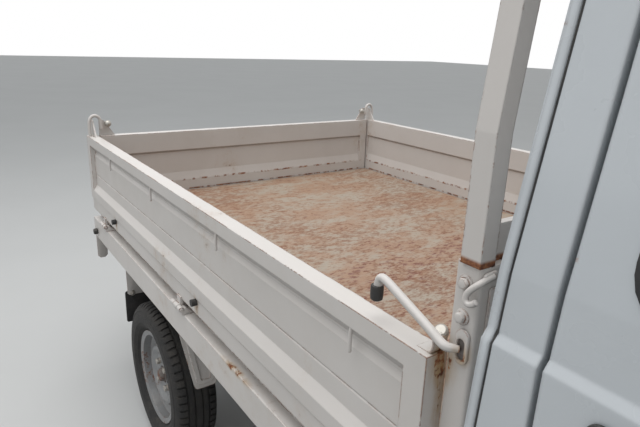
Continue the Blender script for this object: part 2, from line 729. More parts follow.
def bolt(name, centre, axis, size=0.013, washer=0.011, head=0.007):
    """A hexagon head with a domed washer under it."""
    side, other, axis = basis(axis)
    disc = turned(name + "_washer", ((0, 0), (washer, 0), (washer, 0.0012), (washer * 0.8, 0.0024),
                                     (0, 0.0028)), centre, axis, segments=24)
    corner = size / 2 / math.cos(math.radians(30))
    turns = [math.radians(60 * i + 15) for i in range(6)]
    outline = [(corner * math.cos(turn), corner * math.sin(turn)) for turn in turns]
    hexagon = slab(name + "_head", outline, Vector(centre) + axis * 0.002, side, other, head, bevel=0.0012)
    return joined(name, [disc, hexagon])


class TruckPaint(bpy.types.PropertyGroup):
    """Colours and wear of the painted panels."""
    bed_colour: bpy.props.FloatVectorProperty(
        name="Bed paint", description="Paint of the bed, gates and guard frame", subtype="COLOR", size=3,
        min=0.0, max=1.0, default=(0.62, 0.585, 0.555))
    cab_colour: bpy.props.FloatVectorProperty(
        name="Cab paint", description="Paint of the cab and doors", subtype="COLOR", size=3,
        min=0.0, max=1.0, default=(0.56, 0.59, 0.615))
    floor_colour: bpy.props.FloatVectorProperty(
        name="Bed floor paint", description="Worn paint under the floor's rust", subtype="COLOR", size=3,
        min=0.0, max=1.0, default=(0.44, 0.37, 0.295))
    edge_radius: bpy.props.FloatProperty(
        name="Edge radius", description="Rounding of the pressed panels' edges",
        subtype="DISTANCE", unit="LENGTH", default=0.0045, min=0.0, max=0.02)
    rust_cover: bpy.props.FloatProperty(
        name="Rust spots", description="Share of rust spots on the bed's panels", subtype="FACTOR",
        default=0.34, min=0.0, max=1.0)


class TruckFittings(bpy.types.PropertyGroup):
    """Sizes of rods, hooks and bolts."""
    hook_radius: bpy.props.FloatProperty(
        name="Rope hook rod", description="Radius of the rope hooks' rod",
        subtype="DISTANCE", unit="LENGTH", default=0.0032, min=0.001, max=0.01)
    lever_radius: bpy.props.FloatProperty(
        name="Latch lever rod", description="Radius of the latch levers' rod",
        subtype="DISTANCE", unit="LENGTH", default=0.0065, min=0.002, max=0.015)
    bolt_size: bpy.props.FloatProperty(
        name="Bolt head", description="Width across the flats of a bolt head",
        subtype="DISTANCE", unit="LENGTH", default=0.013, min=0.004, max=0.03)


class TruckWheels(bpy.types.PropertyGroup):
    """Sizes of the tyres' tread."""
    tread_depth: bpy.props.FloatProperty(
        name="Tread depth", description="Depth of the tread's grooves", subtype="DISTANCE", unit="LENGTH",
        default=0.0065, min=0.0, max=0.015)
    tread_pitches: bpy.props.IntProperty(
        name="Tread pitches", description="Number of tread blocks round the tyre",
        default=64, min=12, max=120)


class TruckStage(bpy.types.PropertyGroup):
    """Camera, floor and light."""
    lens: bpy.props.FloatProperty(
        name="Lens", description="Focal length on a 36 mm sensor", default=31.04, min=10.0, max=200.0)
    floor_colour: bpy.props.FloatVectorProperty(
        name="Floor", description="Colour of the studio floor", subtype="COLOR", size=3, min=0.0, max=1.0,
        default=(0.62, 0.62, 0.61))
    sky_level: bpy.props.FloatProperty(
        name="Sky level", description="Strength of the even light from all round",
        default=0.50, min=0.0, max=2.0)
    key_power: bpy.props.FloatProperty(
        name="Key light", description="Power of the large soft light", subtype="POWER",
        default=176.0, min=0.0, max=2000.0)


class TRUCK_OT_finishes(bpy.types.Operator):
    """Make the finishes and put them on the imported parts"""
    bl_idname = "truck.finishes"
    bl_label = "Finishes"

    def execute(self, context):
        paint = context.scene.truck_paint
        bed, cab = tuple(paint.bed_colour), tuple(paint.cab_colour)
        GROUPS.update(edge=make_edge_group(), rust=make_rust_group(), dust=make_dust_group())
        # Rust bands: middle height, half height, share
        rail_bands = ((0.806, 0.006, 0.5), (0.764, 0.005, 0.6))
        guard_bands = ((1.1605, 0.009, 1.3),)
        # Rust stains: place, reach along X, Y and Z
        bed_stains = (
            ((0.232, 0.700, 1.010), (0.030, 0.035, 0.055)), ((0.262, 0.706, 1.040), (0.016, 0.02, 0.028)),
            ((0.226, 0.700, 0.960), (0.012, 0.016, 0.110)), ((-1.341, 0.735, 0.745), (0.022, 0.03, 0.045)),
            ((-0.581, 0.735, 0.745), (0.022, 0.03, 0.045)), ((-0.35, 0.730, 0.680), (0.10, 0.02, 0.014)))
        FINISHES.update({
            "bed_paint": painted("bed_paint", bed, spots=paint.rust_cover, wear=0.46,
                                 radius=paint.edge_radius, dirt=0.20, chalk=0.62, bands=rail_bands,
                                 stains=bed_stains),
            "cab_paint": painted("cab_paint", cab, spots=0.10, wear=0.0, radius=0.007, dirt=0.08,
                                 roughness=0.30, coat=0.6),
            "bumper_paint": painted("bumper_paint", cab, spots=0.2, wear=0.15, radius=0.004, dirt=0.25,
                                    roughness=0.40, coat=0.2),
            "guard_paint": painted("guard_paint", bed, spots=0.22, wear=0.30, radius=0.004, dirt=0.15,
                                   bands=guard_bands),
            "floor_paint": rusty_floor("floor_paint", tuple(paint.floor_colour), bed),
            "chassis_black": painted("chassis_black", (0.035, 0.034, 0.033), spots=0.5, wear=0.6,
                                     radius=0.003, dirt=0.55, roughness=0.6,
                                     dust_colour=(0.22, 0.18, 0.14)),
            "cast_iron": bare_metal("cast_iron", (0.20, 0.18, 0.17), metallic=0.6, rust_cover=0.6,
                                    roughness=0.6),
            "exhaust_steel": bare_metal("exhaust_steel", (0.33, 0.27, 0.22), metallic=0.8, rust_cover=0.62,
                                        roughness=0.45),
            "wheel_steel": bare_metal("wheel_steel", (0.30, 0.305, 0.31), metallic=0.45, rust_cover=0.46,
                                      roughness=0.40),
            "fastener": bare_metal("fastener", (0.48, 0.46, 0.42), metallic=0.7, rust_cover=0.48,
                                   roughness=0.4, rust_scale=30.0),
            "bright_metal": bare_metal("bright_metal", (0.62, 0.62, 0.62), rust_cover=0.1, roughness=0.16),
            "rubber": moulded("rubber", (0.018, 0.018, 0.019), roughness=0.62, grain=300.0, dirt=0.22),
            "black_plastic": moulded("black_plastic", (0.022, 0.022, 0.023), roughness=0.5, grain=500.0,
                                     dirt=0.12),
            "dash_plastic": moulded("dash_plastic", (0.045, 0.047, 0.05), dirt=0.12),
            "trim_grey": moulded("trim_grey", (0.17, 0.17, 0.175), roughness=0.62, grain=380.0, dirt=0.12),
            "glass": clear_glass("glass", (0.86, 0.93, 0.90)),
            "lamp_clear": ribbed_lens("lamp_clear", (0.92, 0.93, 0.94)),
            "lamp_amber": ribbed_lens("lamp_amber", (0.85, 0.30, 0.03), transmission=0.35),
            "lamp_red": ribbed_lens("lamp_red", (0.55, 0.02, 0.02), transmission=0.30),
            "tyre": tyre_rubber("tyre"),
            "seat_vinyl": stitched_vinyl("seat_vinyl", (0.060, 0.060, 0.065)),
            "belt_webbing": moulded("belt_webbing", (0.03, 0.03, 0.032), roughness=0.75, grain=600.0,
                                    dirt=0.1),
            "pale_marks": moulded("pale_marks", (0.75, 0.74, 0.70), roughness=0.5, grain=600.0, dirt=0.02),
            "mirror_face": bare_metal("mirror_face", (0.85, 0.86, 0.86), rust_cover=0.0, roughness=0.03),
        })
        slots = {row["node"]: row["material_slot"] for row in frame["record"]["subparts"]}
        for node, made in NODES.items():
            finish = "guard_paint" if node == "guard_frame" else slots[node]
            made.data.materials.clear()
            made.data.materials.append(FINISHES[finish])
        return {"FINISHED"}


class TRUCK_OT_rope_hooks(bpy.types.Operator):
    """Hang the rope hooks under the gates' top rails"""
    bl_idname = "truck.rope_hooks"
    bl_label = "Rope hooks"

    def execute(self, context):
        radius = context.scene.truck_fittings.hook_radius
        for side, sign in SIDES:
            for number, x in enumerate(ROPE_HOOKS_X):
                out = sign * 0.7275
                hook = rod(f"rope_hook_{side}_{number}", ((x, sign * 0.716, 0.996), (x, sign * 0.7245, 0.990),
                                                          (x, out, 0.984), (x, out, 0.972), (x, out, 0.958),
                                                          (x, out, 0.948), (x, out - sign * 0.001, 0.946)),
                           radius, sides=3)
                settle(hook, f"gate_{side}", "bed_paint")
        return {"FINISHED"}


class TRUCK_OT_latches(bpy.types.Operator):
    """Build the latch levers with their plates and grips"""
    bl_idname = "truck.latches"
    bl_label = "Latch levers"

    def execute(self, context):
        radius = context.scene.truck_fittings.lever_radius
        for side, sign in SIDES:
            face = sign * (POST_OUT_Y + 0.0003)
            ring = rounded(0.021, 0.049, 0.0103, steps=7)
            hole = rounded(0.0125, 0.030, 0.0061, steps=7, centre=(0.001, -0.004))
            plate = holed_plate(f"latch_plate_{side}", ring, hole, (0.260, face, 1.0475), (sign, 0, 0),
                                (0, 0, 1), -0.0045)
            back = slab(f"latch_back_{side}", rounded(0.016, 0.034, 0.0075, steps=5), (0.2605, face, 1.0435),
                        (sign, 0, 0), (0, 0, 1), -0.0008)
            settle(plate, "truck", "bed_paint")
            settle(back, "truck", "cast_iron")
            out = sign * (POST_OUT_Y + 0.017)
            lever = rod(f"latch_lever_{side}",
                        ((0.2585, sign * 0.7065, 1.0440), (0.2525, sign * 0.7120, 1.0440),
                         (0.2450, out, 1.0450), (0.2330, out, 1.0490), (0.2180, out, 1.0560),
                         (0.1750, out, 1.0725), (0.1400, out, 1.0860), (0.1270, out, 1.0905),
                         (0.1180, out, 1.0920), (0.1125, out, 1.0880), (0.1100, out, 1.0800),
                         (0.1090, out, 1.0730)), radius, sides=5,
                        taper=(0.7, 0.9, 1, 1, 1, 1, 1, 1, 1, 1, 1, 1))
            settle(lever, "truck", "bed_paint")
            if sign < 0:
                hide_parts("latch_levers")
            grip = turned(f"latch_grip_{side}",
                          ((0, -0.013), (0.0068, -0.013), (0.0092, -0.011), (0.0098, -0.004), (0.0098, 0.008),
                           (0.0092, 0.0105), (0.0068, 0.0115), (0, 0.0115)), (0.1085, out, 1.066), (0, 0, 1),
                          segments=28)
            settle(grip, "truck", "rubber")
            catch = strip(f"latch_catch_{side}",
                          ((0.196, sign * 0.7065, 1.0222), (0.215, sign * 0.7065, 1.0226),
                           (0.2215, sign * 0.7065, 1.026), (0.2240, sign * 0.7065, 1.034),
                           (0.2240, sign * 0.7065, 1.046)), (0, 1, 0), width=0.026, thick=0.0028,
                          bevel=0.0006)
            settle(catch, f"gate_{side}", "bed_paint")
            keeper = slab(f"latch_keeper_{side}", ((-0.011, 0.0), (0.010, 0.0), (0.010, 0.020),
                                                   (0.004, 0.030), (-0.005, 0.030), (-0.011, 0.021)),
                          (0.2155, sign * 0.6935, 1.0225), (1, 0, 0), (0, 0, 1), 0.005, bevel=0.0015)
            settle(keeper, f"gate_{side}", "fastener")
            hook = turned(f"latch_hook_{side}", ((0, 0), (0.0085, 0), (0.010, 0.002), (0.010, 0.010),
                                                 (0.0075, 0.0125), (0, 0.0135)),
                          (0.2155, sign * 0.6925, 1.041), (0.2, sign * 0.6, 0.8), segments=24)
            settle(hook, f"gate_{side}", "fastener")
        return {"FINISHED"}


class TRUCK_OT_post_fittings(bpy.types.Operator):
    """Put the bolts and the rope hook on the front posts"""
    bl_idname = "truck.post_fittings"
    bl_label = "Post fittings"

    def execute(self, context):
        size = context.scene.truck_fittings.bolt_size
        for side, sign in SIDES:
            for number, (x, z) in enumerate(((0.2529, 1.1328), (0.2534, 1.0865))):
                made = bolt(f"post_bolt_{side}_{number}", (x, sign * POST_OUT_Y, z), (0, sign, 0), size=size)
                settle(made, "truck", "bed_paint")
            path = ((0.2785, 0.684, 1.1475), (0.2785, 0.696, 1.1460), (0.2770, 0.7065, 1.1415),
                    (0.2700, 0.7110, 1.1340), (0.2630, 0.7120, 1.1240), (0.2625, 0.7125, 1.1165),
                    (0.2670, 0.7130, 1.1125), (0.2740, 0.7130, 1.1140), (0.2790, 0.7125, 1.1195))
            hook = rod(f"post_hook_{side}", [(x, sign * y, z) for x, y, z in path], 0.0042, sides=5)
            settle(hook, "truck", "bed_paint")
            foot = slab(f"post_hook_foot_{side}", rounded(0.024, 0.013, 0.005, steps=4),
                        (0.2742, sign * 0.688, 1.1465), (0, 1, -0.12 * sign), (0, 0.12 * sign, 1), 0.005,
                        bevel=0.002)
            settle(foot, "truck", "bed_paint")
        return {"FINISHED"}


class TRUCK_OT_corner_loops(bpy.types.Operator):
    """Build the rear corner loops and their pins on the gates"""
    bl_idname = "truck.corner_loops"
    bl_label = "Rear corner loops"

    def execute(self, context):
        for side, sign in SIDES:
            path = ((0.7235, 1.018), (0.7235, 1.058), (0.7225, 1.083), (0.7135, 1.100), (0.6995, 1.1045),
                    (0.6865, 1.099), (0.678, 1.083), (0.6765, 1.050))
            loop = rod(f"corner_loop_{side}", [(-1.657, sign * y, z) for y, z in path], 0.0062, sides=5)
            settle(loop, f"gate_{side}", "bed_paint")
            pin = turned(f"corner_pin_{side}", ((0, -0.004), (0.007, -0.004), (0.007, 0.004), (0.0125, 0.006),
                                                (0.0135, 0.012), (0.0115, 0.019), (0.006, 0.0235),
                                                (0, 0.0245)), (-1.667, sign * 0.652, 1.070), (1, 0, 0),
                         segments=26)
            settle(pin, "tail_gate", "fastener")
        return {"FINISHED"}


class TRUCK_OT_front_board(bpy.types.Operator):
    """Build the pressed front board between its two posts, in place of the plain one"""
    bl_idname = "truck.front_board"
    bl_label = "Front board"

    def execute(self, context):
        half = 0.655
        # The pressed rear face: X, Z
        rear = ((0.245, 0.700), (0.245, 0.800), (0.2525, 0.812), (0.2525, 0.912), (0.245, 0.924),
                (0.245, 0.978), (0.2525, 0.990), (0.2525, 1.090), (0.245, 1.102), (0.245, BOARD_TOP_Z))
        section = [*rear] + [(2 * BOARD_X - x, z) for x, z in reversed(rear)]
        board = moulding("front_board", ((0, -half, 0), (0, half, 0)), (0, 0, 1),
                         [(-x, z) for x, z in section])
        settle(board, "truck", "bed_paint")
        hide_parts("bed_front_board")
        for side, sign in SIDES:
            outline = rounded(0.040, 0.050, 0.0055, steps=4, centre=(POST_X, sign * (POST_OUT_Y - 0.025)))
            post = slab(f"bed_post_{side}", outline, (0, 0, POST_FOOT_Z), (1, 0, 0), (0, 1, 0),
                        BOARD_TOP_Z - POST_FOOT_Z)
            settle(post, "truck", "bed_paint")
            shim = slab(f"post_shim_{side}", rounded(0.030, 0.200, 0.004, steps=3),
                        (0.2745, sign * 0.670, 1.03), (0, 1, 0), (0, 0, 1), 0.003, bevel=0.0008)
            settle(shim, "truck", "bed_paint")
        return {"FINISHED"}


class TRUCK_OT_sills(bpy.types.Operator):
    """Build the side sills with their hinge halves, and the aprons and flaps at the rear wheels"""
    bl_idname = "truck.sills"
    bl_label = "Sills, aprons and flaps"

    def execute(self, context):
        # The beam's section: Y, Z
        section = ((0.650, 0.700), (0.692, 0.700), (0.700, 0.681), (0.7275, 0.681), (0.730, 0.6785),
                   (0.730, 0.600), (0.7275, 0.598), (0.722, 0.598), (0.722, 0.673), (0.650, 0.673))
        for side, sign in SIDES:
            parts = [moulding("beam", ((GATE_REAR_X, 0, 0), (0.290, 0, 0)), (0, 0, 1),
                              [(sign * y, z) for y, z in section], angle=30)]
            for x in HINGES_X:
                for step in (-1, 1):
                    middle = x + step * 0.024
                    parts.append(turned("barrel", ((0, -0.010), (0.0068, -0.010), (0.0075, -0.0093),
                                                   (0.0075, 0.0093), (0.0068, 0.010), (0, 0.010)),
                                        (middle, sign * HINGE_Y, HINGE_Z), (1, 0, 0), segments=20))
                    parts.append(slab("leaf", ((0.700, 0.6805), (0.736, 0.6805), (0.736, 0.694),
                                               (0.730, 0.701), (0.722, 0.701), (0.700, 0.684)),
                                      (middle - 0.010, 0, 0), (0, sign, 0), (0, 0, 1), 0.020 * sign,
                                      bevel=0.0008))
                parts.append(turned("pin", ((0, -0.038), (0.0042, -0.038), (0.0050, -0.0372),
                                            (0.0050, -0.0345), (0.0038, -0.0342), (0.0038, 0.0342),
                                            (0.0050, 0.0345), (0.0050, 0.0372), (0.0042, 0.038), (0, 0.038)),
                                    (x, sign * HINGE_Y, HINGE_Z), (1, 0, 0), segments=16))
            parts.append(slab("end", ((0.688, 0.505), (0.699, 0.494), (0.718, 0.494), (0.7285, 0.505),
                                      (0.7295, 0.680), (0.655, 0.680), (0.655, 0.640), (0.688, 0.610)),
                              (GATE_REAR_X + 0.001, 0, 0), (0, sign, 0), (0, 0, 1), 0.004 * sign,
                              bevel=0.001))
            sill = joined(f"sill_beam_{side}", parts, angle=30)
            settle(sill, "truck", "bed_paint")
            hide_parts(f"sill_{side}")
            stop = turned(f"sill_stop_{side}", ((0, 0), (0.010, 0), (0.0125, 0.003), (0.0125, 0.012),
                                                (0.010, 0.016), (0, 0.017)), (-1.640, sign * 0.730, 0.630),
                          (0, sign, 0), segments=28)
            settle(stop, "truck", "rubber")
            outer = eased_outline(((0.606, 0.378), (0.677, 0.378), (0.722, 0.590), (0.722, 0.672),
                                   (0.606, 0.672)), 0.014)
            inner = eased_outline(((0.622, 0.400), (0.664, 0.400), (0.699, 0.580), (0.699, 0.655),
                                   (0.622, 0.655)), 0.010)
            apron = slab(f"apron_{side}", outer, (APRON_X - 0.003, 0, 0), (0, sign, 0), (0, 0, 1),
                         0.003 * sign)
            rim = moulding(f"apron_rim_{side}", [(APRON_X, sign * y, z) for y, z in inner], (1, 0, 0),
                           ((-0.009, -0.001), (-0.007, 0.004), (0.007, 0.004), (0.009, -0.001)), cyclic=True)
            settle(apron, "truck", "bed_paint")
            settle(rim, "truck", "bed_paint")
            settle(bolt(f"apron_bolt_{side}", (APRON_X, sign * 0.660, 0.640), (1, 0, 0), size=0.012), "truck",
                   "fastener")
            bracket = slab(f"flap_bracket_{side}", ((0.606, 0.440), (0.690, 0.440), (0.697, 0.448),
                                                    (0.700, 0.672), (0.606, 0.672)), (FLAP_X, 0, 0),
                           (0, sign, 0), (0, 0, 1), 0.003 * sign, bevel=0.0008)
            settle(bracket, "truck", "bed_paint")
            flap = slab(f"rubber_flap_{side}", rounded(0.114, 0.132, 0.008, steps=4, centre=(0.649, 0.390)),
                        (FLAP_X - 0.0005, 0, 0), (0, sign, 0), (0, 0, 1), -0.005 * sign, bevel=0.001)
            settle(flap, "truck", "rubber")
            if sign < 0:
                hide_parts("mud_flaps")
            for y in (0.625, 0.678):
                settle(bolt(f"flap_bolt_{side}_{int(y * 1000)}", (FLAP_X + 0.003, sign * y, 0.447), (1, 0, 0),
                            size=0.010), "truck", "fastener")
        return {"FINISHED"}


def tyre_profile(depth, drop):
    """The tyre's section from bead to bead; drop lowers the shoulder blocks between two pitches."""
    # Radius, distance along the axle
    half = [(0.1532, -0.0505), (0.1660, -0.0505), (0.1740, -0.0560), (0.1800, -0.0640), (0.1850, -0.0655),
            (0.1870, -0.0675), (0.1930, -0.0690), (0.1960, -0.0716), (0.2080, -0.0724), (0.2120, -0.0725),
            (0.2240, -0.0716), (0.2260, -0.0698), (0.2360, -0.0682), (0.2380, -0.0692), (0.2450, -0.0668),
            (0.2520, -0.0635 + drop * 0.35), (0.2580 - drop, -0.0570 + drop * 0.3), (0.2618 - drop, -0.0490),
            (0.2630 - drop, -0.0385), (0.2630 - depth, -0.0370), (0.2630 - depth, -0.0320), (0.2635, -0.0305),
            (0.2638, -0.0165), (0.2638 - depth, -0.0155), (0.2638 - depth, -0.0105), (0.2640, -0.0095),
            (0.2640, 0.0)]
    return half + [(radius, -along) for radius, along in reversed(half[:-1])]


class TRUCK_OT_tyres(bpy.types.Operator):
    """Build the treaded tyres in place of the plain ones, with nuts, hub caps and valves on the wheels"""
    bl_idname = "truck.tyres"
    bl_label = "Tyres and wheel fittings"

    def execute(self, context):
        wheels = context.scene.truck_wheels
        depth, pitches = wheels.tread_depth, wheels.tread_pitches
        full, low = tyre_profile(depth, 0.0), tyre_profile(depth, depth * 0.85)
        for place_name, (axle_x, axle_z) in (("front", FRONT_AXLE), ("rear", REAR_AXLE)):
            for side, sign in SIDES:
                centre = Vector((axle_x, sign * HALF_TRACK, axle_z))
                points, faces, rows = [], [], []
                for pitch in range(pitches):
                    for share, form in ((0.0, full), (0.36, full), (0.70, full), (0.74, low), (0.96, low)):
                        rows.append(((pitch + share) * 2 * math.pi / pitches, form))
                for turn, form in rows:
                    for radius, along in form:
                        lead = 0.35 * along * (1 if along * sign > 0 else -1) if radius > 0.25 else 0.0
                        a = turn + lead
                        points.append(centre
                                      + Vector((radius * math.cos(a), sign * along, radius * math.sin(a))))
                count = len(full)
                for row in range(len(rows)):
                    nxt = (row + 1) % len(rows)
                    for i in range(count):
                        j = (i + 1) % count
                        faces.append((row * count + i, row * count + j, nxt * count + j, nxt * count + i))
                tyre = solid(f"treaded_tyre_{place_name}_{side}", points, faces, angle=32)
                body = f"wheel_{place_name}_{side}"
                settle(tyre, body, "tyre")
                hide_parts(f"tyre_{place_name}_{side}")
                outward = Vector((0, sign, 0))
                nuts = []
                for k in range(4):
                    turn = math.radians(45 + 90 * k)
                    spot = centre + Vector((NUT_CIRCLE * math.cos(turn), sign * 0.027,
                                            NUT_CIRCLE * math.sin(turn)))
                    nuts.append(bolt(f"nut_{k}", spot, outward, size=0.019, washer=0.0115, head=0.011))
                settle(joined(f"wheel_nuts_{place_name}_{side}", nuts), body, "fastener")
                cap = turned(f"hub_cap_{place_name}_{side}",
                             ((0.0, 0.047), (0.010, 0.0465), (0.019, 0.044), (0.0225, 0.039), (0.0235, 0.030),
                              (0.026, 0.028), (0.0275, 0.0272)), centre, outward, segments=32)
                settle(cap, body, "cast_iron")
                valve_turn = math.radians(20)
                out_x, out_z = math.cos(valve_turn), math.sin(valve_turn)
                foot = centre + Vector((VALVE_CIRCLE * out_x, sign * 0.020, VALVE_CIRCLE * out_z))
                tip = foot + Vector((-0.010 * out_x, sign * 0.026, -0.010 * out_z))
                valve = turned(f"valve_{place_name}_{side}",
                               ((0, -0.004), (0.0065, -0.004), (0.0055, 0.006), (0.0038, 0.012),
                                (0.0036, 0.024), (0.0044, 0.0245), (0.0044, 0.034), (0.003, 0.0355),
                                (0, 0.0355)), foot, tip - foot, segments=20)
                settle(valve, body, "rubber")
        return {"FINISHED"}


class TRUCK_OT_cab_trim(bpy.types.Operator):
    """Add the cab's seam lips, window rubbers, drip rails, door handles and wipers"""
    bl_idname = "truck.cab_trim"
    bl_label = "Cab trim"

    def execute(self, context):
        rubber = ((-0.012, -0.002), (-0.0115, 0.003), (-0.006, 0.0058), (0.003, 0.0055), (0.009, 0.001),
                  (0.011, -0.007), (0.006, -0.009))
        front = eased_outline(((-0.640, SCREEN_FOOT_Z), (0.640, SCREEN_FOOT_Z), (0.585, 1.712),
                               (-0.585, 1.712)), 0.050)
        ring = moulding("windscreen_rubber", [(windscreen_x(z), y, z) for y, z in front], SCREEN_OUT, rubber,
                        cyclic=True)
        settle(ring, "truck", "rubber")
        rear = eased_outline(((0.540, 1.235), (-0.540, 1.235), (-0.520, 1.640), (0.520, 1.640)), 0.040)
        ring = moulding("rear_window_rubber", [(rear_wall_x(z), y, z) for y, z in rear], (-1, 0, 0.06),
                        rubber, cyclic=True)
        settle(ring, "truck", "rubber")
        shell = faces_of("cab_shell")
        levels = (0.430, 0.600, 0.800, 0.900, 0.960, 1.020, 1.070, 1.096, 1.1015, 1.112, 1.140, 1.178, 1.200,
                  1.275, 1.350, 1.455, 1.560, 1.640)
        for side, sign in SIDES:
            body = f"door_{side}"
            corners = ((0.461, 1.188), (1.345, 1.188), (1.345, 1.455), (1.262, 1.664), (0.481, 1.664))
            outline = eased_outline(corners if sign < 0 else corners[::-1], 0.045)
            ring = moulding(f"door_window_rubber_{side}", [(x, sign * side_y(z), z) for x, z in outline],
                            (0, sign, SIDE_LEAN), rubber, cyclic=True)
            settle(ring, body, "rubber")
            # Seam: name, distance from the rear edge, half width, height off the shell, finish
            for name, offset, half, proud, finish in (("cab_seam", 0.0080, 0.0052, 0.0022, "cab_paint"),
                                                      ("cab_seam_line", 0.0150, 0.0012, 0.0007, "rubber")):
                found = laid(shell, [(max(0.3, rear_wall_x(z)) + offset, sign, z) for z in levels],
                             (0, -sign, 0))
                lip = moulding(f"{name}_{side}", [p for p, _ in found], [n for _, n in found],
                               ((-half, -0.0015), (-half, proud * 0.6), (-half * 0.8, proud),
                                (half * 0.8, proud), (half, proud * 0.6), (half, -0.0015)))
                settle(lip, "truck", finish)
            path = ((0.400, 1.700), (0.450, 1.724), (0.560, 1.731), (0.860, 1.740), (1.150, 1.735),
                    (1.270, 1.728), (1.310, 1.700))
            found = laid(shell, [(x, sign, z) for x, z in path], (0, -sign, 0))
            rail = moulding(f"drip_rail_{side}", [p for p, _ in found], [n for _, n in found],
                            ((-0.004, -0.002), (-0.004, 0.007), (-0.001, 0.009), (0.002, 0.007),
                             (0.004, -0.002)))
            settle(rail, "truck", "cab_paint")
            handle = slab(f"door_handle_{side}", rounded(0.150, 0.050, 0.016, steps=6),
                          (0.520, sign * CAB_HALF, 1.052), (sign, 0, 0), (0, 0, 1), -0.006, bevel=0.002)
            settle(handle, body, "black_plastic")
            pull = slab(f"door_pull_{side}", rounded(0.118, 0.022, 0.009, steps=5),
                        (0.522, sign * (CAB_HALF + 0.006), 1.059), (sign, 0, 0), (0, 0, 1), -0.010,
                        bevel=0.004)
            settle(pull, body, "black_plastic")
            lock = turned(f"door_lock_{side}", ((0, 0), (0.011, 0), (0.011, 0.004), (0.009, 0.0055),
                                                (0, 0.0055)), (0.520, sign * CAB_HALF, 1.005), (0, sign, 0),
                          segments=24)
            settle(lock, body, "bright_metal")
            glass = slab(f"mirror_glass_{side}", rounded(0.084, 0.178, 0.012, steps=5, centre=(0.830, 1.285)),
                         (1.3352, 0, 0), (0, sign, 0), (0, 0, 1), -0.0025 * sign, bevel=0.0008)
            settle(glass, body, "mirror_face")
            outline = eased_outline(((0.786, 1.193), (0.874, 1.193), (0.874, 1.377), (0.786, 1.377)), 0.016)
            rim = moulding(f"mirror_rim_{side}", [(1.335, sign * y, z) for y, z in outline], (-1, 0, 0),
                           ((-0.003, -0.001), (-0.003, 0.003), (0.003, 0.003), (0.003, -0.001)), cyclic=True)
            settle(rim, body, "black_plastic")

        def on_glass(y, along, lift):
            """A point on the windscreen: across, up the glass from its lower edge, and off it."""
            x = windscreen_x(SCREEN_FOOT_Z) + SCREEN_UP[0] * along + SCREEN_OUT[0] * lift
            z = SCREEN_FOOT_Z + SCREEN_UP[2] * along + SCREEN_OUT[2] * lift
            return x, y, z

        for number, y in enumerate((0.450, -0.120)):
            arm = rod(f"wiper_arm_{number}",
                      [on_glass(y, -0.035, 0.010), on_glass(y - 0.02, -0.033, 0.020),
                       on_glass(y - 0.10, -0.018, 0.023), on_glass(y - 0.26, 0.018, 0.020),
                       on_glass(y - 0.33, 0.036, 0.016)], 0.0048, sides=3, taper=(1.6, 1.5, 1.0, 0.8, 0.7))
            blade = moulding(f"wiper_blade_{number}",
                             [on_glass(y - 0.16 - 0.34 * k / 8, 0.010 + 0.052 * k / 8,
                                       -0.008 + 0.004 * (k % 8 == 0)) for k in range(9)], SCREEN_OUT,
                             ((-0.0015, 0.000), (-0.0035, 0.008), (-0.0035, 0.013), (0.0035, 0.013),
                              (0.0035, 0.008), (0.0015, 0.000)))
            cap = turned(f"wiper_pivot_{number}", ((0.016, -0.002), (0.016, 0.006), (0.012, 0.014),
                                                   (0.006, 0.018), (0, 0.018)), on_glass(y, -0.035, -0.001),
                         SCREEN_OUT, segments=28)
            for made in (arm, blade, cap):
                settle(made, "truck", "black_plastic")
        return {"FINISHED"}


